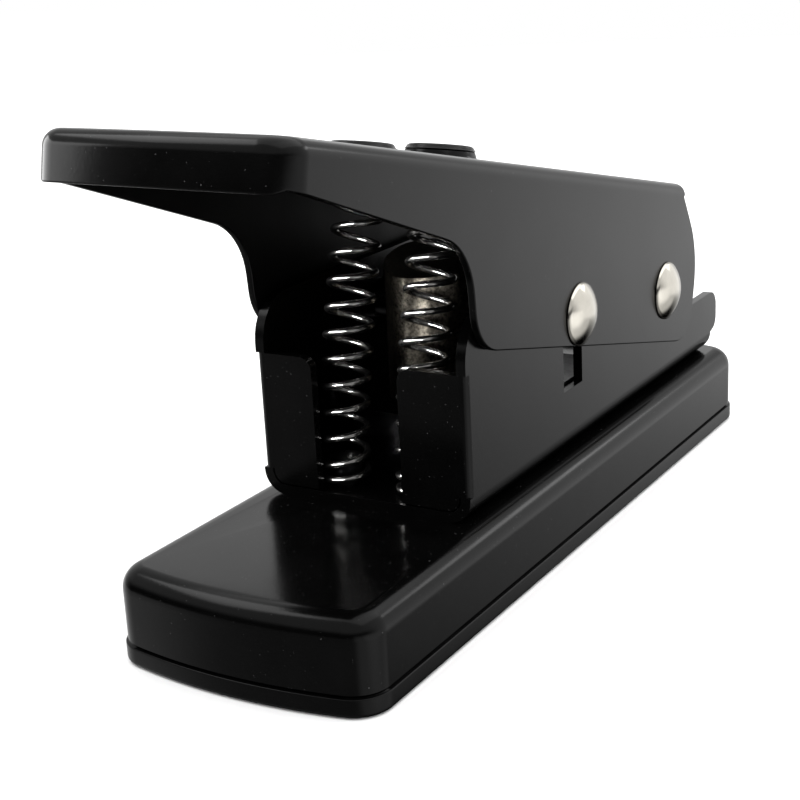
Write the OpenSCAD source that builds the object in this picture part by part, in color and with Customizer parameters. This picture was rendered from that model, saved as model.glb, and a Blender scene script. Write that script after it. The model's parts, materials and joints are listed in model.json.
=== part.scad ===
// Guitar pick punch: a sprung hand lever drives a pick-shaped punch through a die on a hollow base.
// The lever is drawn level about its pivot and then raised to its rest position.
// X is the width, -Y the front with the thumb paddle, Z up from the desk.

/* [Base] */
// Width of the base
base_w = 44.4; // [43.4:0.2:60]
// Length of the base between the middles of its bowed ends
base_l = 146.9; // [145:0.1:170]
// Height of the base above the desk
base_h = 14.4; // [13:0.2:24]
// How far the middle of each end stands out beyond its corners
base_bow = 2.9; // [1:0.1:5]
// Corner radius of the base in plan
base_corner_r = 5.8; // [5.2:0.1:8]
// How far the pan stands in from the rim of the bottom cover
pan_step = 0.35; // [0.2:0.05:1]
// Rounding of the pan's upper edge
pan_edge_r = 3.4; // [2:0.1:4]
// Wall of the pan
pan_t = 1.4; // [1:0.1:2]
// Height of the rim that the bottom cover shows
cover_rim_h = 3.2; // [2.6:0.1:4]
// Thickness of the bottom cover's floor
cover_t = 1.8; // [1.2:0.1:2.2]
// Height of the lip that presses into the pan, above the rim
cover_lip_h = 3.6; // [2:0.1:5]
// Thickness of that lip
cover_lip_t = 1.6; // [1:0.1:2.4]
// Depth of the parting groove round the base
parting_groove = 0.3; // [0.2:0.05:0.8]

/* [Frame] */
// Outside width of the folded frame
frame_w = 37; // [36:0.2:37.6]
// Sheet thickness of the frame
frame_t = 1.6; // [1.2:0.1:1.8]
// Distance from the front of the base to the front of the frame
frame_setback = 37.4; // [36:0.2:38]
// Length of the frame's floor
floor_l = 101.4; // [98:0.2:103]
// How far the ears reach behind the floor
ear_reach = 3; // [1:0.1:4]
// Height of the ears above the base
ear_h = 11.9; // [10:0.1:14]
// Distance from the rear of the lever to the step between a wall and its ear
ear_step = 7; // [6:0.1:8]
// Rounding of the walls' upper front corners
wall_corner_r = 7; // [5:0.1:8]
// Rounding of the walls' upper edge where it drops to the ears
wall_step_r = 5; // [4:0.1:6]
// Height of the side walls above the base
wall_h = 31.6; // [29:0.1:33]
// Radius of the fold between the floor and a wall
frame_bend_r = 3.9; // [2.6:0.1:4.2]
// Height of the front flanges above the base
flange_h = 23.1; // [18:0.1:26]
// Gap between the two front flanges
flange_gap = 15.2; // [14:0.2:18]
// How far that gap stands to the left of the middle
flange_shift = 0.8; // [0:0.1:1.5]
// Gap between a front flange and the floor and fold under it
flange_relief = 0.3; // [0.2:0.1:1]
// Outside radius of the fold between a wall and its front flange
flange_bend_r = 1.2; // [0.6:0.1:1.4]

/* [Lever] */
// Sheet thickness of the lever
lever_t = 1.2; // [0.9:0.1:1.4]
// Running gap between a frame wall and the lever wall outside it
side_gap = 0.25; // [0.2:0.05:0.5]
// Angle from the raised lever to the level, pressed lever
press_angle = 12.3; // [10:0.1:13]
// Distance from the pivot to the front of the lever
lever_reach = 124; // [116:0.2:128]
// Height of the lever's top over the pivot
lever_rise = 19.5; // [18.4:0.1:22]
// Depth of the turned-down lip at the front
lip_h = 7; // [6:0.1:8]
// How far the paddle's sides stand back above the lip's lower edge
lip_relief = 0.6; // [0.3:0.1:1]
// Rounding of the lever's upper edges
lever_edge_r = 2.4; // [1.6:0.1:3]
// Corner radius of the paddle in plan
paddle_corner_r = 5; // [4:0.1:7]
// How far the middle of the paddle's front bows out
paddle_bow = 1.2; // [0.5:0.1:2]
// Distance from the pivot to where the shallow paddle meets the deep walls
shoulder_reach = 76.8; // [75:0.1:79]
// Height of that place over the pivot
shoulder_rise = 7; // [6:0.1:8.4]
// Rounding of the walls' edge there
lever_shoulder_r = 11; // [8:0.5:12]
// Distance from the pivot to the lower front corner of the deep walls
wall_reach = 72.3; // [70:0.1:74]
// Depth of that corner below the pivot
wall_drop_front = 7.8; // [6:0.1:8.6]
// Rounding of that corner
wall_front_r = 8; // [5:0.1:9]
// Depth of the lower rear corner of the walls below the pivot
wall_drop_rear = 9.8; // [8.4:0.1:10.4]
// Rounding of that corner
wall_rear_r = 7; // [5:0.1:8]
// How far the walls reach behind the pivot
lever_tail = 15; // [14:0.1:17]
// How far the top reaches behind the pivot
top_tail = 6.1; // [5:0.1:8]
// Height over the pivot where the walls reach furthest back
tail_rise = 7.5; // [6.5:0.1:8.5]
// Rounding of the walls' rear edge there
tail_r = 16; // [12:0.5:17]
// Height of the two embossed spring cups
cup_h = 2.2; // [1.6:0.1:3]

/* [Pins] */
// Distance from the front of the frame to the pivot
pivot_setback = 73.9; // [72.5:0.1:75]
// Height of the pivot above the base
pivot_h = 18.8; // [17.6:0.1:20.5]
// Diameter of the pivot and drive pins
pin_d = 6.4; // [5:0.1:7]
// Diameter of the domed heads
head_d = 10.5; // [9:0.1:12]
// Height of a head's straight rim
head_rim = 0.3; // [0.2:0.05:1.2]
// Height of a head's dome over its rim
head_dome = 2; // [1:0.1:3]
// Radial running clearance of a pin
pin_clearance = 0.06; // [0.03:0.01:0.1]
// Distance from the pivot to the drive pin
drive_arm = 37.5; // [37:0.1:38.6]
// Depth of the drive pin below the pivot when the lever is pressed
drive_drop = 3.3; // [2.8:0.1:3.8]
// Play of the drive pin in the frame's slots
slot_play = 0.4; // [0.35:0.05:0.6]
// Depth of the frame's slots below the pressed drive pin's play
slot_below = 0.8; // [0.2:0.1:1.5]
// Play of the drive pin in the punch
punch_play = 0.4; // [0.35:0.05:0.6]
// Wall of the spacer sleeve on the pivot pin
sleeve_t = 1.2; // [0.8:0.1:2]

/* [Die set] */
// Length of the pick
pick_l = 30; // [27:0.2:31]
// Width of the pick
pick_w = 26; // [22:0.2:26.6]
// Radius of the pick's tip
tip_r = 5; // [4:0.1:6]
// Radius of the pick's shoulders
shoulder_r = 8; // [6:0.1:9]
// Radius of the pick's flanks
flank_r = 34; // [26:1:50]
// Radius of the pick's back
back_r = 40; // [28:1:60]
// Distance from the drive pin to the pick's tip
tip_ahead = 21.5; // [19:0.1:21.8]
// Height of the punch
punch_h = 25.4; // [23:0.1:28]
// Height of the raised punch's edge over the strip slot
punch_lift = 1; // [0.6:0.1:2]
// Clearance of the punch in the guide and the die
punch_clearance = 0.08; // [0.05:0.01:0.1]
// Thickness of the die plate
die_t = 3.5; // [3:0.1:4]
// Thickness of the guide plate
guide_t = 5; // [3.5:0.1:6]
// Height of the two cheeks that lead the punch, above the guide plate
cheek_h = 10; // [6:0.1:12]
// Length of a cheek
cheek_l = 4.6; // [3:0.1:6]
// Height of the slot for the plastic strip
strip_slot_h = 1.5; // [1:0.1:2]
// Width of the slot for the plastic strip
strip_slot_w = 28; // [27:0.1:28.4]
// Plate left in front of the pick's tip
plate_ahead = 3.2; // [2.8:0.1:3.4]
// Plate left behind the pick's back
plate_behind = 7.5; // [6.5:0.1:9]
// Fit of the plates between the frame walls
plate_clearance = 0.2; // [0.1:0.05:0.4]
// Length of the stop bar at the end of the strip slot
stop_l = 1.6; // [1.2:0.1:1.8]
// Room for the falling pick round the hole in the frame's floor
chute_clearance = 0.8; // [0.4:0.1:1.2]

/* [Springs] */
// Outside diameter of a spring
spring_d = 8.2; // [7.4:0.1:8.6]
// Wire diameter of a spring
wire_d = 1.1; // [0.9:0.05:1.2]
// Distance between the two springs
spring_spacing = 13.8; // [13:0.1:14.4]
// Distance from the front of the frame to the springs' feet
spring_setback = 5.9; // [5.8:0.05:6.2]
// Distance from the pivot to the spring cups
cup_reach = 64; // [63:0.1:65.5]
// Open turns of a spring
open_turns = 11.5; // [9:0.5:12]
// Rise of the closed turn at each end
end_rise = 1.75; // [1.7:0.05:2.2]
// Gap between a spring's end and its seat
spring_gap = 0.25; // [0.1:0.05:0.4]
// Height of the pegs inside the springs' feet
peg_h = 4.2; // [2:0.1:6]

/* [Fasteners] */
// Shank diameter of the die screws
die_screw_d = 3; // [2.5:0.1:3.2]
// Shank diameter of the guide screws
guide_screw_d = 1.9; // [1.6:0.1:2]
// Shank diameter of the frame rivets
rivet_d = 3.2; // [2.6:0.1:4]
// Distance of the frame rivets from the middle
rivet_x = 8; // [6:0.1:10]
// Distance from the die plate to the rivets behind it
rivet_gap = 10; // [8:0.1:14]
// Distance from the rear of the floor to the last rivets
rivet_inset = 8; // [6:0.1:12]
// Height of the frame rivets' heads
rivet_head_h = 1.2; // [0.8:0.1:1.5]
// Clearance of a screw or rivet in its hole
hole_clearance = 0.05; // [0.03:0.01:0.1]

/* [Hidden] */
$fn = 48;

black_gloss = [0.07, 0.07, 0.075];
black_satin = [0.12, 0.12, 0.125];
black_plastic = [0.05, 0.05, 0.05];
nickel = [0.88, 0.87, 0.83];
spring_steel = [0.75, 0.75, 0.74];
tool_steel = [0.36, 0.34, 0.31];
black_oxide = [0.09, 0.09, 0.095];
zinc = [0.62, 0.63, 0.65];

// Places along the length and heights above the desk
far = 200;
frame_front = frame_setback - base_l / 2;
floor_rear = frame_front + floor_l;
ear_rear = floor_rear + ear_reach;
floor_top = base_h + frame_t;
wall_top = base_h + wall_h;
flange_low = floor_top + flange_relief;
flange_notch = base_h + frame_bend_r + flange_relief;
flange_top = base_h + flange_h;
die_top = floor_top + die_t;
guide_bottom = die_top + strip_slot_h;
guide_top = guide_bottom + guide_t;
frame_inside = frame_w / 2 - frame_t;
plate_half = frame_inside - plate_clearance;

// Lever and pins
lever_inside = frame_w / 2 + side_gap;
lever_half = lever_inside + lever_t;
pin_r = pin_d / 2;
pivot = [0, frame_front + pivot_setback, base_h + pivot_h];
drive_level = [0, -drive_arm, -drive_drop];
drive_rest = pivot + tilted(drive_level, press_angle);
drive_mid = pivot + tilted(drive_level, press_angle / 2);
drive_low = pivot + drive_level;
drive_y = (drive_rest[1] + drive_mid[1]) / 2;
punch_travel = drive_rest[2] - drive_low[2];
fit = 0.02;

// Die set
tip_y = drive_y - tip_ahead;
plate_front = tip_y - plate_ahead;
plate_rear = tip_y + pick_l + plate_behind;
guide_screw_x = (strip_slot_w / 2 + plate_half) / 2;
guide_screw_inset = 4;
guide_screw_ys = [
  plate_front + guide_screw_inset,
  (plate_front + plate_rear) / 2,
  plate_rear - guide_screw_inset
];
guide_screw_head_r = plate_half - guide_screw_x;
guide_screw_head_h = 1.2;
guide_screw_bite = 1.2;
cheek_rear = guide_screw_ys[1] - guide_screw_head_r - 2 * plate_clearance;
die_screw_x = 9.5;
die_screw_inset = 3.7;
die_screw_ys = [plate_front + die_screw_inset, plate_rear - die_screw_inset];
die_screw_head_r = 2.6;
die_screw_head_h = 1.6;
die_screw_bite = die_t - 1;
rivet_ys = [plate_rear + rivet_gap, floor_rear - rivet_inset];
rivet_head_r = rivet_d * 0.85;

// Springs
coil_r = (spring_d - wire_d) / 2;
spring_x = spring_spacing / 2;
foot_y = frame_front + spring_setback;
cup_ceiling = lever_rise + cup_h - lever_t;
spring_foot = [foot_y, floor_top + spring_gap + wire_d / 2];
spring_head_level = [0, -cup_reach, cup_ceiling - spring_gap - wire_d / 2];
spring_head_place = pivot + tilted(spring_head_level, press_angle);
spring_head = [spring_head_place[1], spring_head_place[2]];
spring_handle = norm(spring_head - spring_foot) / 3;
rings_per_turn = 8;
tube_sides = 6;
turns = open_turns + 2;
ring_count = turns * rings_per_turn;
peg_r = spring_d / 2 - wire_d - 0.5;
peg_spigot_r = 1.5;
cup_r = spring_d / 2 + 0.2;

// A point of the level lever after the lever is raised by an angle about the pivot
function tilted(p, angle) = [
  p[0],
  p[1] * cos(angle) + p[2] * sin(angle),
  p[2] * cos(angle) - p[1] * sin(angle)
];

function unit(v) = v / norm(v);

// Points of an arc about a centre
function arc(centre, r, from, to, steps = 6) = [
  for (i = [0 : steps])
    let (a = from + (to - from) * i / steps)
    centre + r * [cos(a), sin(a)]
];

// Direction from one point to another, in degrees
function heading(from, to) = atan2(to[1] - from[1], to[0] - from[0]);

function mirrored_x(points) = [for (i = [len(points) - 1 : -1 : 0]) [-points[i][0], points[i][1]]];
function mirrored_y(points) = [for (i = [len(points) - 1 : -1 : 0]) [points[i][0], -points[i][1]]];

// Outline whose corners [x, y, radius] are rounded
function corner(before, at, after, r, steps) =
  let (
    u = unit(before - at),
    v = unit(after - at),
    half = acos(u * v) / 2,
    centre = at + unit(u + v) * r / sin(half),
    start = at + u * r / tan(half) - centre,
    end = at + v * r / tan(half) - centre,
    turn = (180 - 2 * half) * sign(start[0] * end[1] - start[1] * end[0]),
    from = atan2(start[1], start[0])
  )
  arc(centre, r, from, from + turn, steps);

function rounded(corners, steps = 8) = [
  for (i = [0 : len(corners) - 1])
    let (
      n = len(corners),
      at = corners[i],
      before = corners[(i + n - 1) % n],
      after = corners[(i + 1) % n],
      xy = [at[0], at[1]]
    )
    each at[2] == 0
      ? [xy]
      : corner([before[0], before[1]], xy, [after[0], after[1]], at[2], steps)
];

// Right half of a bowed end with round corners, from the side to the middle
function bowed_end(width, reach, bow, corner_r, inset = 0) =
  let (
    end_r = (width * width / 4 + bow * bow) / (2 * bow),
    end_centre = [0, reach - end_r],
    x = width / 2 - corner_r,
    corner_centre = [x, end_centre[1] + sqrt(pow(end_r - corner_r, 2) - x * x)],
    split = heading(end_centre, corner_centre)
  )
  concat(
    arc(corner_centre, corner_r - inset, 0, split),
    arc(end_centre, end_r - inset, split, 90, 5)
  );

// Plan of the base, drawn in by an inset
function base_outline(inset) =
  let (
    quarter = bowed_end(base_w, base_l / 2, base_bow, base_corner_r, inset),
    right = concat(mirrored_y(quarter), quarter)
  )
  concat(right, mirrored_x(right));

// Plan of a pick with its tip at the origin, pointing to -Y, drawn in by an inset
function pick_outline(inset) =
  let (
    tip = [0, tip_r],
    x = pick_w / 2 - shoulder_r,
    back = [0, pick_l - back_r],
    shoulder = [x, back[1] + sqrt(pow(back_r - shoulder_r, 2) - x * x)],
    span = norm(shoulder - tip),
    along = (pow(flank_r - tip_r, 2) - pow(flank_r - shoulder_r, 2) + span * span) / (2 * span),
    aside = sqrt(pow(flank_r - tip_r, 2) - along * along),
    u = (shoulder - tip) / span,
    flank = tip + along * u + aside * [-u[1], u[0]],
    tip_end = heading(flank, tip),
    flank_end = heading(flank, shoulder),
    shoulder_end = heading(back, shoulder),
    right = concat(
      arc(tip, tip_r - inset, -90, tip_end),
      arc(flank, flank_r - inset, tip_end, flank_end),
      arc(shoulder, shoulder_r - inset, flank_end, shoulder_end),
      arc(back, back_r - inset, shoulder_end, 90)
    )
  )
  concat(right, mirrored_x(right));

module along_x(from, to) {
  translate([from, 0, 0])
    rotate([90, 0, 90])
      linear_extrude(to - from)
        children();
}

module along_y(from, to) {
  translate([0, to, 0])
    rotate([90, 0, 0])
      linear_extrude(to - from)
        children();
}

module along_z(from, to) {
  translate([0, 0, from])
    linear_extrude(to - from)
      children();
}

// Round bar along X through a place in the YZ plane
module cross_bar(place, r, half) {
  translate([-half, place[1], place[2]])
    rotate([0, 90, 0])
      cylinder(r = r, h = 2 * half);
}

module pick_hole(clearance, from, to) {
  translate([0, tip_y, 0])
    along_z(from, to)
      polygon(pick_outline(-clearance));
}

// Places of fasteners in mirrored pairs
module pairs(x, ys) {
  for (side = [-1, 1])
    for (y = ys)
      translate([side * x, y, 0])
        children();
}

module upright(r, from, to) {
  translate([0, 0, from])
    cylinder(r = r, h = to - from);
}

// Pan block with a rounded upper edge
module pillow(bottom, top, edge_r) {
  slice = 0.02;
  hull() {
    along_z(bottom, bottom + slice)
      polygon(base_outline(pan_step));
    for (a = [0 : 30 : 90])
      translate([0, 0, top - slice - edge_r * (1 - sin(a))])
        linear_extrude(slice)
          polygon(base_outline(pan_step + edge_r * (1 - cos(a))));
  }
}

module fastener_holes(d_play) {
  pairs(die_screw_x, die_screw_ys)
    upright(die_screw_d / 2 + d_play, 0, floor_top + die_screw_bite);
  pairs(rivet_x, rivet_ys)
    upright(rivet_d / 2 + d_play, 0, far);
}

module bottom_cover() {
  cover_lip_inset = pan_step + pan_t + plate_clearance;
  color(black_plastic)
    difference() {
      union() {
        along_z(0, cover_rim_h - parting_groove)
          polygon(base_outline(0));
        along_z(0, cover_rim_h)
          polygon(base_outline(pan_step + parting_groove));
        along_z(0, cover_rim_h + cover_lip_h)
          polygon(base_outline(cover_lip_inset));
      }
      along_z(cover_t, far)
        polygon(base_outline(cover_lip_inset + cover_lip_t));
    }
}

module base_pan() {
  color(black_gloss)
    difference() {
      pillow(cover_rim_h, base_h, pan_edge_r);
      along_z(0, base_h - pan_edge_r)
        polygon(base_outline(pan_step + pan_t));
      along_z(0, base_h - pan_t)
        polygon(base_outline(pan_step + pan_edge_r));
      pick_hole(2 * chute_clearance, 0, far);
      fastener_holes(hole_clearance);
    }
}

// Section of the folded channel, drawn in by an inset
module channel_section(inset) {
  half = frame_w / 2 - inset;
  r = frame_bend_r - inset;
  low = base_h + inset;
  polygon(rounded([[-half, far, 0], [-half, low, r], [half, low, r], [half, far, 0]]));
}

// Side view of the frame's walls
module wall_side() {
  ear_top = base_h + ear_h;
  notch = base_h + frame_bend_r;
  step = pivot[1] + lever_tail - ear_step;
  polygon(rounded([
    [frame_front, base_h, 0],
    [floor_rear, base_h, 0],
    [floor_rear, notch, 0],
    [ear_rear, notch + 0.8, 2.4],
    [ear_rear, ear_top, 3.2],
    [step + 4, ear_top, 3],
    [step, wall_top, wall_step_r],
    [frame_front, wall_top, wall_corner_r]
  ]));
}

// Right-hand front flange that ends a distance from the middle and clears the fold of the floor
module front_flange(inner) {
  half = frame_w / 2;
  seam = frame_inside - flange_relief;
  seam_r = max(frame_bend_r - frame_t - flange_relief, 0);
  along_y(frame_front, frame_front + frame_t)
    polygon(rounded([
      [inner, flange_low, 0],
      [seam, flange_low, seam_r],
      [seam, flange_notch, 0],
      [half, flange_notch, 0],
      [half, flange_top, 0],
      [inner, flange_top, 2]
    ]));
}

// What the rounded fold of the right-hand flange leaves out of the sharp corner
module fold_corner() {
  r = flange_bend_r;
  translate([frame_w / 2 - r, frame_front + r, 0])
    along_z(flange_notch, flange_top)
      difference() {
        translate([0, -2 * r])
          square(2 * r);
        circle(r);
      }
}

// Slot in each wall that the drive pin travels in
module drive_slots() {
  r = pin_r + slot_play;
  place = [0, drive_y, drive_rest[2]];
  cross_bar(place, r, far);
  along_x(-far, far)
    translate([drive_y - r, drive_low[2] - r - slot_below])
      square([2 * r, punch_travel + r + slot_below]);
}

module frame() {
  color(black_satin)
    difference() {
      union() {
        intersection() {
          along_y(frame_front, ear_rear)
            difference() {
              channel_section(0);
              channel_section(frame_t);
            }
          along_x(-far, far)
            wall_side();
        }
        front_flange(flange_gap / 2 - flange_shift);
        mirror([1, 0, 0])
          front_flange(flange_gap / 2 + flange_shift);
      }
      cross_bar(pivot, pin_r + pin_clearance, far);
      fold_corner();
      mirror([1, 0, 0])
        fold_corner();
      drive_slots();
      pick_hole(chute_clearance, 0, floor_top + frame_t);
      fastener_holes(hole_clearance);
      pairs(spring_x, [foot_y])
        upright(peg_spigot_r + hole_clearance, 0, far);
    }
}

module die_plate() {
  chamfer = frame_bend_r - frame_t + 0.1;
  color(black_oxide)
    difference() {
      along_y(plate_front, plate_rear)
        polygon([
          [-plate_half, die_top],
          [-plate_half, floor_top + chamfer],
          [chamfer - plate_half, floor_top],
          [plate_half - chamfer, floor_top],
          [plate_half, floor_top + chamfer],
          [plate_half, die_top]
        ]);
      pick_hole(punch_clearance, 0, far);
      fastener_holes(hole_clearance);
      pairs(guide_screw_x, guide_screw_ys)
        upright(guide_screw_d / 2 + hole_clearance, die_top - guide_screw_bite, far);
    }
}

module strip_rail(side) {
  inner = strip_slot_w / 2;
  color(black_oxide)
    difference() {
      along_z(die_top, guide_bottom)
        translate([side > 0 ? inner : -plate_half, plate_front])
          square([plate_half - inner, plate_rear - plate_front]);
      pairs(guide_screw_x, guide_screw_ys)
        upright(guide_screw_d / 2 + hole_clearance, 0, far);
    }
}

module strip_rail_left() {
  strip_rail(-1);
}

module strip_rail_right() {
  strip_rail(1);
}

module strip_stop() {
  half = strip_slot_w / 2;
  color(black_oxide)
    along_z(die_top, guide_bottom)
      translate([-half, plate_front])
        square([2 * half, stop_l]);
}

module guide_plate() {
  color(black_oxide)
    difference() {
      union() {
        along_z(guide_bottom, guide_top)
          translate([-plate_half, plate_front])
            square([2 * plate_half, plate_rear - plate_front]);
        along_z(guide_bottom, guide_top + cheek_h)
          translate([-plate_half, cheek_rear - cheek_l])
            square([2 * plate_half, cheek_l]);
      }
      pick_hole(punch_clearance, 0, far);
      pairs(guide_screw_x, guide_screw_ys)
        upright(guide_screw_d / 2 + hole_clearance, 0, far);
    }
}

module die_screws() {
  seat = base_h - pan_t;
  color(zinc)
    pairs(die_screw_x, die_screw_ys) {
      upright(die_screw_head_r, seat - die_screw_head_h, seat);
      upright(die_screw_d / 2, seat - die_screw_head_h, floor_top + die_screw_bite);
    }
}

module guide_screws() {
  color(black_oxide)
    pairs(guide_screw_x, guide_screw_ys) {
      upright(guide_screw_head_r, guide_top, guide_top + guide_screw_head_h);
      upright(guide_screw_d / 2, die_top - guide_screw_bite, guide_top);
    }
}

module frame_rivets() {
  seat = base_h - pan_t;
  color(black_satin)
    pairs(rivet_x, rivet_ys) {
      upright(rivet_head_r, seat - rivet_head_h, seat);
      upright(rivet_d / 2, seat, floor_top);
      upright(rivet_head_r, floor_top, floor_top + rivet_head_h);
    }
}

module spring_peg(side) {
  color(black_oxide)
    translate([side * spring_x, foot_y, 0]) {
      upright(peg_spigot_r, base_h, floor_top);
      upright(peg_r, floor_top, floor_top + peg_h);
    }
}

module spring_peg_left() {
  spring_peg(-1);
}

module spring_peg_right() {
  spring_peg(1);
}

module pivot_sleeve() {
  half = frame_inside - plate_clearance / 2;
  bore_r = pin_r + pin_clearance;
  color(zinc)
    difference() {
      cross_bar(pivot, bore_r + sleeve_t, half);
      cross_bar(pivot, bore_r, far);
    }
}

// Side view of the level lever, drawn in by an inset at its top and front
module lever_side(inset) {
  front = inset - lever_reach;
  top = lever_rise - inset;
  lip_low = lever_rise - lip_h;
  polygon(rounded([
    [front, top, lever_edge_r - inset],
    [front, lip_low, 0],
    [front + 2.4, lip_low, 0],
    [front + 2.8, lip_low + lip_relief, 0],
    [-shoulder_reach, shoulder_rise, lever_shoulder_r],
    [-wall_reach, -wall_drop_front, wall_front_r],
    [lever_tail - 0.8, -wall_drop_rear, wall_rear_r],
    [lever_tail, tail_rise, tail_r],
    [top_tail - 0.5, lever_rise - lever_edge_r, 0],
    [top_tail, lever_rise - 0.75 * lever_edge_r, 0],
    [top_tail, top, 0]
  ]));
}

// Space inside the level lever, seen from the side
module lever_side_space() {
  front = lever_t - lever_reach;
  top = lever_rise - lever_t;
  polygon(rounded([[front, top, lever_edge_r - lever_t], [front, -far, 0], [far, -far, 0], [far, top, 0]]));
}

// Plan of the lever, drawn in by an inset
module lever_plan(inset) {
  quarter = bowed_end(2 * lever_half, lever_reach, paddle_bow, paddle_corner_r, inset);
  right = concat(mirrored_y(quarter), [[lever_half - inset, far]]);
  polygon(concat(right, mirrored_x(right)));
}

// Section across the lever, drawn in by an inset
module lever_section(inset) {
  half = lever_half - inset;
  top = lever_rise - inset;
  r = lever_edge_r - inset;
  polygon(rounded([[-half, -far, 0], [half, -far, 0], [half, top, r], [-half, top, r]]));
}

module lever_block() {
  intersection() {
    along_x(-lever_half, lever_half)
      lever_side(0);
    along_z(-far, far)
      lever_plan(0);
    along_y(-far, far)
      lever_section(0);
  }
}

module lever_space() {
  intersection() {
    along_x(-lever_inside, lever_inside)
      lever_side_space();
    along_z(-far, far)
      lever_plan(lever_t);
    along_y(-far, far)
      lever_section(lever_t);
  }
}

// Embossed cup over a spring, solid before its hollow is taken out
module cup_outside() {
  foot_r = cup_r + lever_t + 0.1;
  rotate_extrude()
    polygon(rounded([
      [0, lever_rise - lever_t / 2, 0],
      [foot_r, lever_rise - lever_t / 2, 0],
      [foot_r, lever_rise, 0],
      [foot_r - 0.5, lever_rise + cup_h, 0.7],
      [0, lever_rise + cup_h, 0]
    ]));
}

module raised() {
  translate(pivot)
    rotate([-press_angle, 0, 0])
      children();
}

module lever() {
  color(black_gloss)
    raised()
      difference() {
        union() {
          difference() {
            lever_block();
            lever_space();
          }
          pairs(spring_x, [-cup_reach])
            cup_outside();
        }
        pairs(spring_x, [-cup_reach])
          upright(cup_r, lever_rise - 2 * lever_t, cup_ceiling);
        cross_bar([0, 0, 0], pin_r + fit, far);
        cross_bar(drive_level, pin_r + fit, far);
      }
}

// Domed head on the outside of the lever's right wall
module pin_head() {
  r = head_d / 2;
  dome_r = (r * r + head_dome * head_dome) / (2 * head_dome);
  translate([lever_half, 0, 0])
    rotate([0, 90, 0])
      intersection() {
        cylinder(r = r, h = head_rim + head_dome);
        translate([0, 0, head_rim + head_dome - dome_r])
          sphere(r = dome_r);
      }
}

module headed_pin(place) {
  color(nickel)
    raised()
      translate(place) {
        cross_bar([0, 0, 0], pin_r, lever_half);
        pin_head();
        mirror([1, 0, 0])
          pin_head();
      }
}

module pivot_pin() {
  headed_pin([0, 0, 0]);
}

module drive_pin() {
  headed_pin(drive_level);
}

module punch() {
  edge = guide_bottom + punch_lift;
  color(tool_steel)
    difference() {
      translate([0, tip_y, 0])
        along_z(edge, edge + punch_h)
          polygon(pick_outline(0));
      cross_bar([0, drive_y, drive_rest[2]], pin_r + punch_play, far);
    }
}

// Middle line of a raised spring, from its foot at 0 to its head at 1, as [y, z]
function spring_line(s) =
  let (
    foot_pull = spring_foot + [0, spring_handle],
    head_pull = spring_head - spring_handle * [sin(press_angle), cos(press_angle)],
    t = 1 - s
  )
  pow(t, 3) * spring_foot + 3 * t * t * s * foot_pull + 3 * t * s * s * head_pull + pow(s, 3) * spring_head;

// Share of the spring's length reached after a number of turns, with a closed turn at each end
function spring_share(turn) =
  let (
    length = spring_head[1] - spring_foot[1],
    end_share = end_rise / length,
    open_share = (1 - 2 * end_share) / open_turns
  )
  turn < 1
    ? end_share * turn
    : turn > turns - 1
      ? 1 - end_share * (turns - turn)
      : end_share + open_share * (turn - 1);

// Middle of the wire after a number of turns
function wire_point(turn) =
  let (
    s = spring_share(turn),
    at = spring_line(s),
    step = spring_line(s + 0.001) - spring_line(s - 0.001),
    up = unit([0, step[0], step[1]]),
    back = cross(up, [1, 0, 0]),
    a = 360 * turn
  )
  [0, at[0], at[1]] + coil_r * (cos(a) * [1, 0, 0] + sin(a) * back);

// Middle line of the wire, with a straight end of one wire diameter at each end
wire_curve = [for (i = [0 : ring_count]) wire_point(i / rings_per_turn)];
wire_line = concat(
  [wire_curve[0] + wire_d * unit(wire_curve[0] - wire_point(0.02))],
  wire_curve,
  [wire_curve[ring_count] + wire_d * unit(wire_curve[ring_count] - wire_point(turns - 0.02))]
);

// Least gap between stretches of the wire that are more than half a turn apart
spring_self_gap = min([
  for (i = [0 : len(wire_line) - 1])
    for (j = [i + rings_per_turn / 2 + 1 : 1 : len(wire_line) - 1])
      norm(wire_line[i] - wire_line[j]) - wire_d
]);
echo(spring_self_gap_mm = spring_self_gap);

// One ring of points round the wire
function wire_ring(i) =
  let (
    last = len(wire_line) - 1,
    ahead = unit(wire_line[min(i + 1, last)] - wire_line[max(i - 1, 0)]),
    side = unit(cross(ahead, [0, 0, 1])),
    up = cross(side, ahead)
  )
  [
    for (k = [0 : tube_sides - 1])
      let (a = 360 * k / tube_sides)
      wire_line[i] + wire_d / 2 * (cos(a) * side + sin(a) * up)
  ];

module spring(side) {
  rings = len(wire_line);
  n = tube_sides;
  points = [for (i = [0 : rings - 1]) each wire_ring(i)];
  walls = [
    for (i = [0 : rings - 2])
      for (k = [0 : n - 1])
        let (a = i * n + k, b = i * n + (k + 1) % n)
        each [[a, a + n, b], [b, a + n, b + n]]
  ];
  first_cap = [for (k = [1 : n - 2]) [0, k, k + 1]];
  start = (rings - 1) * n;
  last_cap = [for (k = [1 : n - 2]) [start, start + k + 1, start + k]];
  color(spring_steel)
    translate([side * spring_x, 0, 0])
      polyhedron(points = points, faces = concat(walls, first_cap, last_cap));
}

module spring_left() {
  spring(-1);
}

module spring_right() {
  spring(1);
}

bottom_cover();
base_pan();
frame();
die_plate();
strip_rail_left();
strip_rail_right();
strip_stop();
guide_plate();
die_screws();
guide_screws();
frame_rivets();
spring_peg_left();
spring_peg_right();
pivot_sleeve();
lever();
pivot_pin();
drive_pin();
punch();
spring_left();
spring_right();
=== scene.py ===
import json
import math

import bmesh
import bpy
from mathutils import Matrix, Vector
from mathutils.geometry import tessellate_polygon


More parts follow.
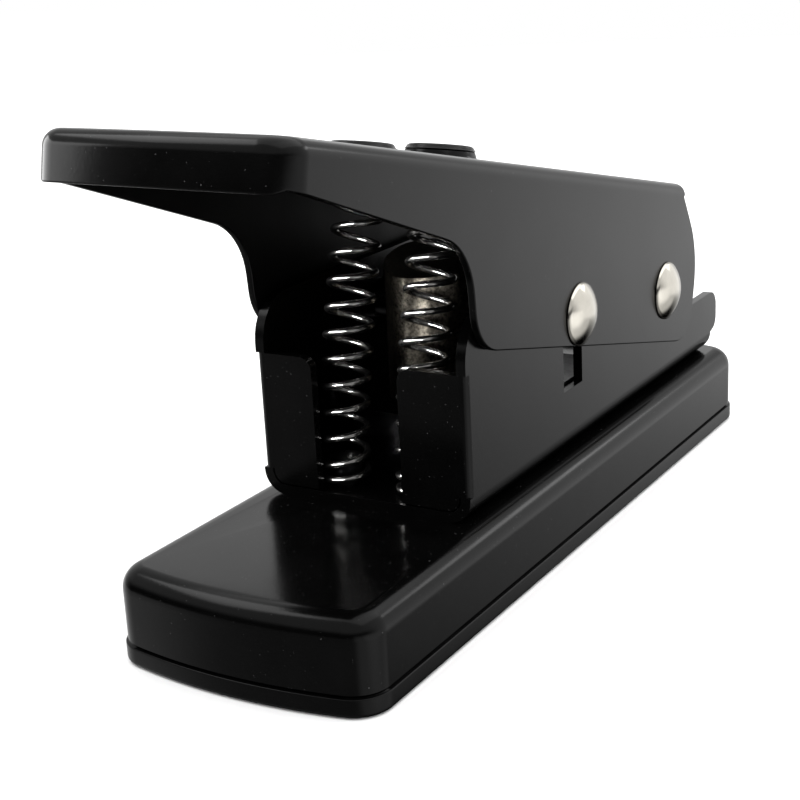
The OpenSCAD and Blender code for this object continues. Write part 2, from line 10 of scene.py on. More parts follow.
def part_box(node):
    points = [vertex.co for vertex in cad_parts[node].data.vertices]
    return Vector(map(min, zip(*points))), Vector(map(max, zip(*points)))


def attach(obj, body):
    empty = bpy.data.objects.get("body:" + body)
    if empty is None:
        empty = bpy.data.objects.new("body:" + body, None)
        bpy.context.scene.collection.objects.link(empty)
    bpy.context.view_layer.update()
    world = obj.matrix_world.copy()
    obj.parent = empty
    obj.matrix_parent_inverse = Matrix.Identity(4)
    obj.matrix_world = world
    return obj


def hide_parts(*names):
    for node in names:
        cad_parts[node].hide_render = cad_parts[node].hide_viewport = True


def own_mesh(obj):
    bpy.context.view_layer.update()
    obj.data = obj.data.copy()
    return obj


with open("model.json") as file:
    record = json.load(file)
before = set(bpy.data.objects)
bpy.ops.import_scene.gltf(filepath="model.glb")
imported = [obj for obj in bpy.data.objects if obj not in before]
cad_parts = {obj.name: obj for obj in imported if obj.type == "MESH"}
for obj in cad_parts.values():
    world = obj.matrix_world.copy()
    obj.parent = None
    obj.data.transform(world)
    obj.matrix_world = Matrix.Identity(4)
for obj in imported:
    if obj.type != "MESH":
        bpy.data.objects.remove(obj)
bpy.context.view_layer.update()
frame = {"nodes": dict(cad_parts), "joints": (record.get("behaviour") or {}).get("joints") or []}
NODES = frame["nodes"]

MM = 0.001

# Hinge of the lever, from the frame
HINGE = next(joint for joint in frame["joints"] if joint["name"] == "lever_hinge")
PIVOT = Vector(HINGE["pos_m"]) / MM
PRESS = math.radians(HINGE["range_deg"][1])
RAISED = Matrix.Translation(PIVOT * MM) @ Matrix.Rotation(-PRESS, 4, "X")

# Base: pan and cover, in millimetres like all sizes of the part
BASE_W, BASE_L, BASE_H = 44.4, 146.9, 14.4
BASE_BOW, BASE_CORNER = 2.9, 5.8
PAN_STEP, PAN_EDGE, PAN_T = 0.35, 3.4, 1.4
PAN_FOOT_EDGE = 0.15
PICK_HALF, CHUTE_GROW = 13.0, 1.6
RIM_H, GROOVE = 3.2, 0.3
COVER_T, COVER_LIP_H, COVER_LIP_T, COVER_PLAY = 1.8, 3.6, 1.6, 0.2
COVER_FOOT = [(0.9, 0), (0.35, 0.12), (0.08, 0.4), (0, 0.75)]
COVER_EDGE = [(0, 0.15), (0.05, 0.04), (0.15, 0)]

# Frame and punch, whose meshes come from the CAD nodes
FLOOR_TOP = 16.0
FRAME_BEVEL, PUNCH_BEVEL = 0.3, 0.2

# Lever, level and measured from the pivot
LEVER_T, LEVER_HALF = 1.2, 19.95
LEVER_REACH, LEVER_RISE, LEVER_EDGE = 124.0, 19.5, 2.4
PADDLE_CORNER, PADDLE_BOW = 5.0, 1.2
LIP_H, LIP_RELIEF, LIP_RETURN = 7.0, 0.6, 2.8
LIP_LOW = LEVER_RISE - LIP_H
SKIRT_START, SKIRT_LOW, SKIRT_BLEND = LIP_RETURN - LEVER_REACH, LIP_LOW + LIP_RELIEF, 1.2
TOP_TAIL, TAIL_STEP = 6.1, 0.5
SHOULDER, SHOULDER_R = (-76.8, 7.0), 11
WALL_FRONT, WALL_FRONT_R = (-72.3, -7.8), 8
WALL_REAR, WALL_REAR_R = (14.2, -9.8), 7
WALL_TAIL, WALL_TAIL_R = (15.0, 7.5), 16
WALL_CLEAR = 0.3
LEVER_BEVEL = 0.26

# Spring cups in the lever's top
CUP_REACH, CUP_R, CUP_H = 64.0, 5.6, 2.2
CUP_FOOT = [(0.7, 0), (0.3, 0.08), (0.05, 0.3), (-0.12, 0.7)]
CUP_DRAFT, CUP_CROWN, CUP_CROWN_W, CUP_CROWN_H, CUP_FLAT_R = 0.35, 1.2, 0.8, 0.75, 2.2

# Pins
PIN_R, HEAD_R, HEAD_RIM, HEAD_DOME = 3.2, 5.25, 0.3, 2.0
HEAD_EDGE, HEAD_TIP_R = 0.12, 0.02
RIM_EDGE = [(0, 0.1), (0.06, 0.03)]
DOME_SHARE = 0.985
DRIVE = (-37.5, -3.3)

# Springs
SPRING_X, COIL_R, WIRE_R, HEAD_TAPER = 6.9, 3.55, 0.55, 0.3
SPRING_GAP, OPEN_TURNS, END_RISE = 0.25, 11.5, 1.75
COIL_START, FOOT_Y = math.pi, -30.15

# Camera, in millimetres and radians
EYE = (123.91, -226.72, 103.10)
YAW, PITCH, ROLL = 0.549, -0.305, -0.052
LENS, SENSOR = 71.27, 36


# Outlines


def arc(centre, r, start, end, steps):
    """Points of an arc, angles in degrees."""
    angles = [math.radians(start + (end - start) * i / steps) for i in range(steps + 1)]
    return [(centre[0] + r * math.cos(a), centre[1] + r * math.sin(a)) for a in angles]


def circle(centre, r, count):
    return arc(centre, r, 0, 360, count)[:-1]


def heading(a, b):
    return math.degrees(math.atan2(b[1] - a[1], b[0] - a[0]))


def clamp(value):
    return min(max(value, 0), 1)


def rounded(corners, steps=10):
    """Open polyline whose inner corners (x, y, radius) are rounded."""
    points = [corners[0][:2]]
    for before, (x, y, r), after in zip(corners, corners[1:], corners[2:]):
        at = Vector((x, y))
        u = (Vector(before[:2]) - at).normalized()
        v = (Vector(after[:2]) - at).normalized()
        half = u.angle(v) / 2
        centre = at + (u + v).normalized() * (r / math.sin(half))
        start = heading(centre, at + u * (r / math.tan(half)))
        end = heading(centre, at + v * (r / math.tan(half)))
        turn = (end - start + 180) % 360 - 180
        points += arc(centre, r, start, start + turn, steps)
    return points + [corners[-1][:2]]


def bowed_end(width, reach, bow, corner_r, inset):
    """Right half of a bowed end with round corners, from the side to the middle."""
    end_r = (width * width / 4 + bow * bow) / (2 * bow)
    x = width / 2 - corner_r
    end_y = reach - end_r
    corner = (x, end_y + math.sqrt((end_r - corner_r) ** 2 - x * x))
    split = heading((0, end_y), corner)
    round_corner = arc(corner, corner_r - inset, 0, split, steps=14)
    return round_corner + arc((0, end_y), end_r - inset, split, 90, steps=12)[1:]


def base_outline(inset):
    quarter = bowed_end(BASE_W, BASE_L / 2, BASE_BOW, BASE_CORNER, inset)
    right = [(x, -y) for x, y in reversed(quarter)] + quarter
    left = [(-x, y) for x, y in reversed(right)]
    return right[1:] + left[1:]


def pick_outline(grow):
    """Plan of the hole for the falling pick, taken from the punch's own outline."""
    low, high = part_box("punch")
    slack = 1e-5
    lowest = [v.co / MM for v in NODES["punch"].data.vertices if v.co.z < low.z + slack]
    corners = {(round(p.x, 2), round(p.y, 2)) for p in lowest}
    middle = (low.y + high.y) / 2 / MM
    ring = sorted(corners, key=lambda p: math.atan2(p[1] - middle, p[0]))
    scale = 1 + grow / PICK_HALF
    return [(x * scale, middle + (y - middle) * scale) for x, y in ring]


# Meshes


def finish_mesh(bm, mesh):
    for face in bm.faces:
        face.smooth = True
    bm.to_mesh(mesh)
    bm.free()


def welded(mesh):
    bm = bmesh.new()
    bm.from_mesh(mesh)
    bmesh.ops.remove_doubles(bm, verts=bm.verts, dist=2e-6)
    return bm


class Build:
    """Vertices and faces of one mesh, in millimetres."""

    def __init__(self):
        self.points = []
        self.faces = []

    def ring(self, points):
        start = len(self.points)
        self.points += [tuple(p) for p in points]
        return list(range(start, start + len(points)))

    def bridge(self, a, b, closed=True):
        n = len(a)
        for i in range(n if closed else n - 1):
            j = (i + 1) % n
            self.faces.append((a[i], a[j], b[j], b[i]))

    def loft(self, rings, closed=True):
        for a, b in zip(rings, rings[1:]):
            self.bridge(a, b, closed)

    def cap(self, ring):
        self.faces.append(tuple(ring))

    def fill(self, loops):
        """Fills an outer loop with holes in it."""
        flat = [i for loop in loops for i in loop]
        corners = [[Vector(self.points[i]) for i in loop] for loop in loops]
        for triangle in tessellate_polygon(corners):
            self.faces.append(tuple(flat[i] for i in triangle))

    def mesh(self, name, place=None):
        mesh = bpy.data.meshes.new(name)
        mesh.from_pydata([(x * MM, y * MM, z * MM) for x, y, z in self.points], [], self.faces)
        bm = welded(mesh)
        bmesh.ops.recalc_face_normals(bm, faces=bm.faces)
        finish_mesh(bm, mesh)
        if place is not None:
            mesh.transform(place)
        return mesh


def clean_copy(node):
    """A CAD node's mesh with its flat triangles joined into whole faces."""
    mesh = NODES[node].data.copy()
    bm = welded(mesh)
    bmesh.ops.dissolve_limit(bm, angle_limit=math.radians(0.5), verts=bm.verts, edges=bm.edges)
    finish_mesh(bm, mesh)
    return mesh


def show(name, mesh, body, material, slot, *nodes):
    """Puts a finished mesh in the scene in place of CAD nodes."""
    obj = bpy.data.objects.new(name, mesh)
    bpy.context.scene.collection.objects.link(obj)
    mesh.materials.clear()
    mesh.materials.append(material)
    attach(obj, body)
    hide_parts(*nodes)
    return obj


def keep_flat(obj):
    """Lets the large faces look flat under smooth shading."""
    obj.modifiers.new("normals", "WEIGHTED_NORMAL").keep_sharp = False


def soften(obj, width, angle, segments, clamped=True):
    """Small bevel on the hard edges, with the flat faces kept flat."""
    bevel = obj.modifiers.new("edges", "BEVEL")
    bevel.width = width * MM
    bevel.segments = segments
    bevel.limit_method = "ANGLE"
    bevel.angle_limit = math.radians(angle)
    bevel.use_clamp_overlap = clamped
    keep_flat(obj)


# Materials, with noise scales in waves per metre


class Paint:
    """Node material with a few helpers."""

    def __init__(self, name):
        self.material = bpy.data.materials.new(name)
        self.material.use_nodes = True
        self.tree = self.material.node_tree
        self.shader = self.tree.nodes["Principled BSDF"]
        self.coords = self.tree.nodes.new("ShaderNodeTexCoord").outputs["Object"]

    def node(self, kind, **values):
        node = self.tree.nodes.new(kind)
        for key, value in values.items():
            setattr(node, key, value)
        return node

    def link(self, a, b):
        self.tree.links.new(a, b)

    def drive(self, socket, source):
        self.link(source, self.shader.inputs[socket])

    def set(self, socket, value):
        self.shader.inputs[socket].default_value = value

    def noise(self, scale, detail, roughness=0.5):
        noise = self.node("ShaderNodeTexNoise")
        noise.inputs["Scale"].default_value = scale
        noise.inputs["Detail"].default_value = detail
        noise.inputs["Roughness"].default_value = roughness
        self.link(self.coords, noise.inputs["Vector"])
        return noise.outputs["Fac"]

    def ramp(self, source, *stops):
        """Colour or grey value along a source, as two stops (place, value)."""
        ramp = self.node("ShaderNodeValToRGB")
        for element, (place, value) in zip(ramp.color_ramp.elements, stops):
            element.position = place
            colour = value if isinstance(value, tuple) else (value, value, value)
            element.color = (*colour, 1)
        self.link(source, ramp.inputs["Fac"])
        return ramp.outputs["Color"]

    def add(self, a, b):
        mix = self.node("ShaderNodeMix", data_type="RGBA", blend_type="ADD")
        mix.inputs["Factor"].default_value = 1.0
        self.link(a, mix.inputs["A"])
        self.link(b, mix.inputs["B"])
        return mix.outputs["Result"]

    def bump(self, source, strength, distance):
        bump = self.node("ShaderNodeBump")
        bump.inputs["Strength"].default_value = strength
        bump.inputs["Distance"].default_value = distance
        self.link(source, bump.inputs["Height"])
        self.drive("Normal", bump.outputs["Normal"])


# Grey range and gloss of the black coats, and the depth of fine bumps in metres
BLACK = (0.0006, 0.0014)
COAT_SPECULAR = 0.09
PEEL_DEPTH, GRAIN_DEPTH = 0.00002, 0.00003


def enamel(name, roughness, peel, tones=BLACK, specular=COAT_SPECULAR, specks=0.05):
    """Black paint with a fine peel, small dull patches and a few specks of dust."""
    paint = Paint(name)
    dark, light = tones
    tone = paint.ramp(paint.noise(scale=160, detail=4), (0.3, dark), (0.75, light))
    dust = paint.ramp(paint.noise(scale=2600, detail=1), (0.755, 0.0), (0.81, specks))
    paint.drive("Base Color", paint.add(tone, dust))
    dull = paint.noise(scale=90, detail=3)
    rough = paint.ramp(dull, (0.25, roughness * 0.85), (0.8, roughness * 1.2))
    paint.drive("Roughness", rough)
    paint.bump(paint.noise(scale=1500, detail=3), peel, PEEL_DEPTH)
    paint.set("Specular IOR Level", specular)
    return paint.material


def plastic(name, roughness, peel):
    """Black moulded plastic with a fine, even skin."""
    paint = Paint(name)
    dark, light = BLACK
    tone = paint.ramp(paint.noise(scale=220, detail=4), (0.3, dark), (0.75, light))
    paint.drive("Base Color", tone)
    dull = paint.noise(scale=130, detail=3)
    rough = paint.ramp(dull, (0.25, roughness * 0.85), (0.8, roughness * 1.15))
    paint.drive("Roughness", rough)
    paint.bump(paint.noise(scale=2400, detail=3), peel, PEEL_DEPTH)
    paint.set("Specular IOR Level", COAT_SPECULAR)
    return paint.material


def metal(name, dark, light, roughness, scale, grain):
    """Bare or plated metal, uneven in tone and gloss at one scale."""
    paint = Paint(name)
    tone = paint.ramp(paint.noise(scale, detail=5, roughness=0.6), (0.3, dark), (0.7, light))
    paint.drive("Base Color", tone)
    dull = paint.noise(scale * 1.7, detail=4, roughness=0.6)
    rough = paint.ramp(dull, (0.3, roughness * 0.75), (0.75, roughness * 1.3))
    paint.drive("Roughness", rough)
    paint.bump(paint.noise(scale * 3, detail=3), grain, GRAIN_DEPTH)
    paint.set("Metallic", 1.0)
    return paint.material


GLOSS = enamel("black_enamel", roughness=0.17, peel=0.25)
SATIN = enamel("black_enamel_frame", roughness=0.2, peel=0.3)
# Darker, duller copy of the enamel for the lever's inner faces: painted shade inside the folded sheet
SHADED_INSIDE = enamel(
    "black_enamel_inside_painted_shade", roughness=0.45, peel=0.4, tones=(0.0004, 0.0009), specular=0.05, specks=0.01
)
COVER = plastic("black_plastic", roughness=0.24, peel=0.25)
NICKEL = metal(
    "polished_nickel", (0.345, 0.329, 0.292), (0.40, 0.382, 0.342), roughness=0.16, scale=260, grain=0.015
)
WIRE = metal(
    "spring_steel", (0.13, 0.128, 0.124), (0.18, 0.177, 0.172), roughness=0.2, scale=500, grain=0.1
)
STEEL = metal(
    "tool_steel", (0.012, 0.0105, 0.0085), (0.19, 0.172, 0.142), roughness=0.38, scale=2000, grain=0.6
)
# Black oxide kept near black: painted shade on the parts deep in the channel and on the pin shafts
SHADED_OXIDE = metal(
    "black_oxide", (0.008, 0.008, 0.009), (0.02, 0.02, 0.021), roughness=0.34, scale=380, grain=0.3
)
ZINC = metal(
    "zinc_plate", (0.36, 0.365, 0.375), (0.44, 0.445, 0.455), roughness=0.32, scale=300, grain=0.05
)


# Base


def base_rings(build, profile):
    """Rings round the base, for a profile of (inset, height)."""
    return [build.ring([(x, y, z) for x, y in base_outline(inset)]) for inset, z in profile]


def base_pan():
    build = Build()
    under_top = BASE_H - PAN_T
    edge = (PAN_STEP + PAN_EDGE, BASE_H - PAN_EDGE)
    profile = [
        (PAN_STEP + PAN_EDGE, under_top),
        (PAN_STEP + PAN_T, BASE_H - PAN_EDGE),
        (PAN_STEP + PAN_T, RIM_H),
        (PAN_STEP + PAN_FOOT_EDGE, RIM_H),
        (PAN_STEP, RIM_H + PAN_FOOT_EDGE),
    ]
    rings = base_rings(build, profile + arc(edge, PAN_EDGE, 180, 90, steps=12))
    build.loft(rings)
    hole = pick_outline(CHUTE_GROW)
    low = build.ring([(x, y, under_top) for x, y in hole])
    high = build.ring([(x, y, BASE_H) for x, y in hole])
    build.bridge(low, high)
    build.fill([rings[0], low])
    build.fill([rings[-1], high])
    keep_flat(show("pan", build.mesh("pan"), "base", GLOSS, "black_enamel", "base_pan"))


def bottom_cover():
    build = Build()
    rim_top = RIM_H - GROOVE
    groove = PAN_STEP + GROOVE
    lip = PAN_STEP + PAN_T + COVER_PLAY
    lip_top = RIM_H + COVER_LIP_H
    profile = COVER_FOOT + [(inset, rim_top - drop) for inset, drop in COVER_EDGE]
    profile += [(groove, rim_top), (groove, RIM_H), (lip, RIM_H), (lip, lip_top)]
    profile += [(lip + COVER_LIP_T, lip_top), (lip + COVER_LIP_T, COVER_T)]
    rings = base_rings(build, profile)
    build.loft(rings)
    build.cap(rings[0])
    build.cap(rings[-1])
    keep_flat(show("cover", build.mesh("cover"), "base", COVER, "black_plastic", "bottom_cover"))


# Lever


def lever_plan(inset, tail):
    """Plan of the top's edge from the rear left round the paddle to the rear right."""
    quarter = bowed_end(2 * LEVER_HALF, LEVER_REACH, PADDLE_BOW, PADDLE_CORNER, inset)
    right = [(x, -y) for x, y in quarter]
    left = [(-x, y) for x, y in right]
    side = LEVER_HALF - inset
    return [(-side, tail)] + left + right[::-1][1:] + [(side, tail)]


def lever_edge(build):
    """Round upper edge, as open rings from the top face down to the walls."""
    steps = 10
    rings = []
    for i in range(steps + 1):
        a = math.pi / 2 * i / steps
        plan = lever_plan(LEVER_EDGE * (1 - math.sin(a)), TOP_TAIL - TAIL_STEP * (i == steps))
        z = LEVER_RISE - LEVER_EDGE * (1 - math.cos(a))
        rings.append(build.ring([(x, y, z) for x, y in plan]))
    build.loft(rings, closed=False)
    return rings


def lip_edge(y):
    """Height of the paddle's lower edge, which steps up behind the lip."""
    blend = clamp((y - (SKIRT_START - SKIRT_BLEND)) / SKIRT_BLEND)
    along = (y - SKIRT_START) / (SHOULDER[0] - SKIRT_START)
    skirt = SKIRT_LOW + (SHOULDER[1] - SKIRT_LOW) * max(along, 0)
    return LIP_LOW + (skirt - LIP_LOW) * blend


def lever_wall(build, side, corner, under, rear):
    """Side wall as one face, from the front corner to the rear end of the top's edge."""
    lower = rounded(
        [
            (SKIRT_START, SKIRT_LOW, 0),
            (*SHOULDER, SHOULDER_R),
            (*WALL_FRONT, WALL_FRONT_R),
            (*WALL_REAR, WALL_REAR_R),
            (*WALL_TAIL, WALL_TAIL_R),
            (TOP_TAIL - TAIL_STEP, LEVER_RISE - LEVER_EDGE, 0),
        ]
    )
    start = build.points[corner][1] + WALL_CLEAR
    points = [(side * LEVER_HALF, y, z) for y, z in lower[:-1] if y > start]
    build.cap([under] + build.ring(points) + [rear, corner])


def lever_cup(build, x):
    """Embossed cup on the top. Returns its foot, the hole it needs in the top face."""
    profile = [(CUP_R + out, z) for out, z in CUP_FOOT]
    profile.append((CUP_R - CUP_DRAFT, CUP_H - CUP_CROWN_H))
    steps = 6
    for i in range(steps + 1):
        a = math.pi / 2 * i / steps
        r = CUP_R - CUP_CROWN + CUP_CROWN_W * math.cos(a)
        profile.append((r, CUP_H - CUP_CROWN_H + CUP_CROWN_H * math.sin(a)))
    profile.append((CUP_FLAT_R, CUP_H))
    rings = []
    for r, z in profile:
        around = circle((x, -CUP_REACH), r, count=48)
        rings.append(build.ring([(*point, LEVER_RISE + z) for point in around]))
    build.loft(rings)
    build.cap(rings[-1])
    return rings[0]


def lever():
    """Folded sheet, built as its outer skin and thickened inwards."""
    build = Build()
    edge = lever_edge(build)
    rear_left, *front, rear_right = edge[-1]
    below = build.ring([(x, y, lip_edge(y)) for x, y, _ in (build.points[i] for i in front)])
    build.bridge(front, below, closed=False)
    lever_wall(build, -1, front[0], below[0], rear_left)
    lever_wall(build, 1, front[-1], below[-1], rear_right)
    build.fill([edge[0], *[lever_cup(build, x) for x in (-SPRING_X, SPRING_X)]])
    obj = show("hand_lever", build.mesh("hand_lever", RAISED), "lever", GLOSS, "black_enamel", "lever")
    # The inner skin takes the darker copy of the enamel, as painted shade
    obj.data.materials.append(SHADED_INSIDE)
    sheet = obj.modifiers.new("sheet", "SOLIDIFY")
    sheet.material_offset = 1
    sheet.material_offset_rim = 0
    sheet.thickness = LEVER_T * MM
    sheet.offset = -1
    sheet.use_even_offset = True
    sheet.use_quality_normals = True
    soften(obj, LEVER_BEVEL, angle=55, segments=3, clamped=False)


# Pins


def headed_pin(name, node, place):
    """Pin across the lever with a domed head on each side: bright heads, and a shaft in dark oxide as
    painted shade.
    """
    build = Build()
    rim = LEVER_HALF + HEAD_RIM
    profile = [(PIN_R, LEVER_HALF), (HEAD_R - HEAD_EDGE, LEVER_HALF), (HEAD_R, LEVER_HALF + HEAD_EDGE)]
    profile += [(HEAD_R - inset, rim - drop) for inset, drop in RIM_EDGE]
    dome_r = (HEAD_R**2 + HEAD_DOME**2) / (2 * HEAD_DOME)
    reach = math.asin(HEAD_R / dome_r)
    steps = 12
    for i in range(steps + 1):
        a = reach * (1 - i / steps) * DOME_SHARE
        out = rim + HEAD_DOME - dome_r * (1 - math.cos(a))
        profile.append((max(dome_r * math.sin(a), HEAD_TIP_R), out))
    rings = []
    for r, x in [(r, -x) for r, x in reversed(profile)] + profile:
        rings.append(build.ring([(x, y, z) for y, z in circle(place, r, count=56)]))
    build.loft(rings)
    build.cap(rings[0])
    build.cap(rings[-1])
    pin = show(name, build.mesh(name, RAISED), "lever", NICKEL, "polished_nickel", node)
    pin.data.materials.append(SHADED_OXIDE)
    # The shaft's long faces are the only ones with their middle inside the lever; they take the dark oxide
    # as painted shade
    for face in pin.data.polygons:
        face.material_index = int(abs(face.center.x) < PIN_R * MM)
    keep_flat(pin)


# Springs, whose middle lines lie in planes of (y, z)


def tilted(y, z, angle):
    """Place of a level lever's point, from the pivot, with the lever raised by an angle."""
    cos, sin = math.cos(angle), math.sin(angle)
    return Vector((y * cos + z * sin, z * cos - y * sin))


HEAD_LEVEL = (-CUP_REACH, LEVER_RISE + CUP_H - LEVER_T - SPRING_GAP - WIRE_R)
FOOT = Vector((FOOT_Y, FLOOR_TOP + SPRING_GAP + WIRE_R))
HEAD = Vector((PIVOT.y, PIVOT.z)) + tilted(*HEAD_LEVEL, PRESS)
TURNS = OPEN_TURNS + 2
ACROSS = Vector((1, 0, 0))
UPRIGHT = Vector((0, 0, 1))


def spring_line(s):
    """Middle line of a raised spring, a curve that meets floor and cup squarely."""
    pull = (HEAD - FOOT).length / 3
    foot_pull = FOOT + Vector((0, pull))
    head_pull = HEAD - pull * Vector((math.sin(PRESS), math.cos(PRESS)))
    t = 1 - s
    return t**3 * FOOT + 3 * t * t * s * foot_pull + 3 * t * s * s * head_pull + s**3 * HEAD


def climb(turn):
    """Share of the middle line reached after some turns, with a closed turn at each end."""
    end_share = END_RISE / (HEAD.y - FOOT.y)
    if turn < 1:
        return end_share * turn
    if turn > TURNS - 1:
        return 1 - end_share * (TURNS - turn)
    return end_share + (1 - 2 * end_share) / OPEN_TURNS * (turn - 1)


def coil(x):
    """Middle line of the wire."""
    per_turn, step = 28, 0.001
    line = []
    for i in range(round(TURNS * per_turn) + 1):
        turn = i / per_turn
        s = climb(turn)
        at = spring_line(s)
        ahead = spring_line(s + step) - spring_line(s - step)
        back = Vector((0, ahead.x, ahead.y)).normalized().cross(ACROSS)
        a = 2 * math.pi * turn + COIL_START
        r = COIL_R - HEAD_TAPER * clamp(turn - TURNS + 2)
        line.append(Vector((x, at.x, at.y)) + r * (math.cos(a) * ACROSS + math.sin(a) * back))
    return line


def spring(name, node, x):
    """Round wire wound along the spring's line."""
    line = coil(x)
    sides = 10
    build = Build()
    rings = []
    for i, p in enumerate(line):
        ahead = (line[min(i + 1, len(line) - 1)] - line[max(i - 1, 0)]).normalized()
        side = ahead.cross(UPRIGHT).normalized()
        over = side.cross(ahead)
        angles = [2 * math.pi * k / sides for k in range(sides)]
        rings.append(build.ring([p + WIRE_R * (math.cos(a) * side + math.sin(a) * over) for a in angles]))
    build.loft(rings)
    build.cap(rings[0])
    build.cap(rings[-1])
    obj = show(name, build.mesh(name), "base", WIRE, "spring_steel", node)
    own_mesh(obj)


base_pan()
bottom_cover()
lever()
headed_pin("pivot_rivet", "pivot_pin", (0, 0))
headed_pin("drive_rivet", "drive_pin", DRIVE)
spring("coil_spring_left", "spring_left", -SPRING_X)
spring("coil_spring_right", "spring_right", SPRING_X)
channel = show("channel_frame", clean_copy("frame"), "base", SATIN, "black_enamel", "frame")
soften(channel, FRAME_BEVEL, angle=40, segments=3)
cutter = show("pick_punch", clean_copy("punch"), "punch", STEEL, "tool_steel", "punch")
soften(cutter, PUNCH_BEVEL, angle=50, segments=2)

# The near-black oxide on the inner plates, rails, stop, screws and pegs is painted shade
FINISHES = {
    "die_plate": SHADED_OXIDE,
    "guide_plate": SHADED_OXIDE,
    "strip_rail_left": SHADED_OXIDE,
    "strip_rail_right": SHADED_OXIDE,
    "strip_stop": SHADED_OXIDE,
    "die_screws": ZINC,
    "guide_screws": SHADED_OXIDE,
    "frame_rivets": SATIN,
    "spring_peg_left": SHADED_OXIDE,
    "spring_peg_right": SHADED_OXIDE,
    "pivot_sleeve": ZINC,
    "base_pan": GLOSS,
    "bottom_cover": COVER,
    "lever": GLOSS,
    "frame": SATIN,
    "pivot_pin": NICKEL,
    "drive_pin": NICKEL,
    "punch": STEEL,
    "spring_left": WIRE,
    "spring_right": WIRE,
}
for node, material in FINISHES.items():
    NODES[node].data.materials.clear()
    NODES[node].data.materials.append(material)


# Studio, in metres and watts


def pale_floor():
    """Pale round floor that the gloss doesn't mirror."""
    radius, drop = 0.9, 0.0001
    mesh = bpy.data.meshes.new("floor")
    rim = circle((0, 0), radius, count=96)
    mesh.from_pydata([(x, y, -drop) for x, y in rim], [], [tuple(range(len(rim)))])
    floor = bpy.data.objects.new("floor", mesh)
    bpy.context.scene.collection.objects.link(floor)
    pale = Paint("pale_floor")
    pale.drive("Base Color", pale.ramp(pale.noise(scale=3, detail=2), (0.3, 0.84), (0.7, 0.86)))
    pale.set("Roughness", 0.8)
    pale.set("Specular IOR Level", 0.1)
    mesh.materials.append(pale.material)
    floor.visible_glossy = False


def room():
    """World of soft lobes: light behind the punch, dimmer on the camera's side. The camera sees it white."""
    world = bpy.data.worlds.new("studio")
    world.use_nodes = True
    tree = world.node_tree
    direction = tree.nodes.new("ShaderNodeTexCoord").outputs["Generated"]

    def along(*axis):
        dot = tree.nodes.new("ShaderNodeVectorMath")
        dot.operation = "DOT_PRODUCT"
        dot.inputs[1].default_value = Vector(axis).normalized()
        tree.links.new(direction, dot.inputs[0])
        return dot.outputs["Value"]

    def fade(source, start, end, low, high):
        """Goes smoothly from low to high while the source goes from start to end."""
        ease = tree.nodes.new("ShaderNodeMapRange")
        ease.interpolation_type = "SMOOTHSTEP"
        ease.inputs["From Min"].default_value = start
        ease.inputs["From Max"].default_value = end
        ease.inputs["To Min"].default_value = low
        ease.inputs["To Max"].default_value = high
        tree.links.new(source, ease.inputs["Value"])
        return ease.outputs["Result"]

    def combine(operation, first, *others):
        """Joins the sources one after the other."""
        for other in others:
            node = tree.nodes.new("ShaderNodeMath")
            node.operation = operation
            tree.links.new(first, node.inputs[0])
            tree.links.new(other, node.inputs[1])
            first = node.outputs["Value"]
        return first

    up = along(0, 0, 1)
    to_right = along(1, 0, 0)
    to_left = along(-1, 0, 0)
    depth = along(-0.05, 1.0, 0.15)
    behind = fade(depth, -0.45, 0.35, 0.0, 1.0)
    before = fade(depth, -0.45, 0.35, 1.0, 0.0)

    rear_wall = fade(up, -0.62, -0.2, 0.0, 1.0)
    rear_right = combine("MULTIPLY", fade(to_right, 0.05, 0.3, 0.0, 0.92), fade(up, -0.36, -0.2, 0.0, 1.0))
    rear = combine("MULTIPLY", behind, combine("ADD", rear_wall, rear_right))
    far_right = combine("ADD", fade(to_right, 0.45, 0.7, 0.0, 1.2), fade(to_right, 0.8, 0.95, 0.0, 1.0))
    right = combine("MULTIPLY", far_right, fade(up, -0.02, 0.16, 1.0, 0.0))
    front = combine("MULTIPLY", before, fade(up, -0.12, -0.05, 0.42, 0.05))
    left = combine("MULTIPLY", fade(to_left, 0.54, 0.8, 0.0, 0.6), fade(up, -0.12, -0.05, 1.0, 0.0))
    sky = combine("MULTIPLY", before, fade(up, 0.17, 0.45, 0.0, 1.2))
    total = combine("ADD", combine("MAXIMUM", rear, right), front, left, sky)
    seen = tree.nodes.new("ShaderNodeLightPath").outputs["Is Camera Ray"]
    background = tree.nodes["Background"]
    background.inputs["Color"].default_value = (1, 1, 1, 1)
    tree.links.new(combine("MAXIMUM", total, seen), background.inputs["Strength"])
    bpy.context.scene.world = world


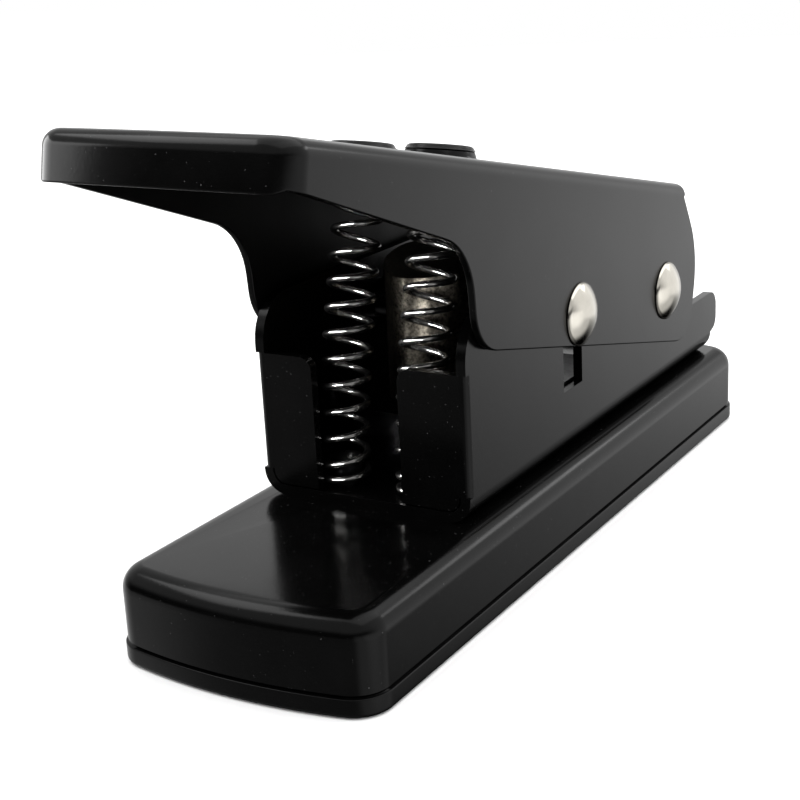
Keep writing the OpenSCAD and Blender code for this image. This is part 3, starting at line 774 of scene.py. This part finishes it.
def softbox(name, place, target, size, power, pieces=()):
    """Rectangular lamp. With pieces named, it lights only those."""
    light = bpy.data.lights.new(name, "AREA")
    light.shape = "RECTANGLE"
    light.size, light.size_y = size
    light.energy = power
    obj = bpy.data.objects.new(name, light)
    bpy.context.scene.collection.objects.link(obj)
    obj.location = place
    direction = Vector(target) - Vector(place)
    obj.rotation_euler = direction.to_track_quat("-Z", "Y").to_euler()
    if pieces:
        lit = bpy.data.collections.new(name)
        for piece in pieces:
            lit.objects.link(bpy.data.objects[piece])
        obj.light_linking.receiver_collection = lit


def lamps():
    springs = ["coil_spring_left", "coil_spring_right"]
    sheets = ["hand_lever", "channel_frame"]
    softbox("overhead", (0, 0.5, 1.2), (0, 0.5, 0), (2, 2), 20)
    softbox("upper_left", (-0.5, -0.2, 0.75), (0, -0.05, 0.02), (0.5, 0.35), 2.7)
    softbox("left", (-0.48, -0.17, 0.15), (0, -0.03, 0.05), (0.5, 0.26), 3.1, sheets + springs)
    softbox("front", (-0.55, -0.9, 0.225), (0, -0.03, 0.045), (2.3, 0.16), 190, springs)
    softbox("fill", (0.64, -0.8, 0.1), (0, -0.02, 0.045), (0.25, 0.2), 22, ["pick_punch"])
    softbox("rear_left", (-0.55, 0.85, 0.35), (0, -0.04, 0.014), (0.6, 0.35), 0.33)
    softbox("rear_right", (0.40, 0.75, 0.42), (0, 0, 0.03), (0.3, 0.12), 0.6)


def camera():
    scene = bpy.context.scene
    data = bpy.data.cameras.new("camera")
    data.lens = LENS
    data.sensor_width = SENSOR
    data.clip_start = 0.01
    obj = bpy.data.objects.new("camera", data)
    scene.collection.objects.link(obj)
    level = Vector((-math.sin(YAW), math.cos(YAW), 0))
    right = Vector((math.cos(YAW), math.sin(YAW), 0))
    ahead = math.cos(PITCH) * level + math.sin(PITCH) * UPRIGHT
    up = right.cross(ahead)
    across = math.cos(ROLL) * right + math.sin(ROLL) * up
    upright = -math.sin(ROLL) * right + math.cos(ROLL) * up
    turn = Matrix((across, upright, -ahead)).transposed()
    obj.matrix_world = Matrix.Translation(Vector(EYE) * MM) @ turn.to_4x4()
    scene.camera = obj


bpy.context.scene.view_settings.view_transform = "Standard"
pale_floor()
room()
lamps()
camera()
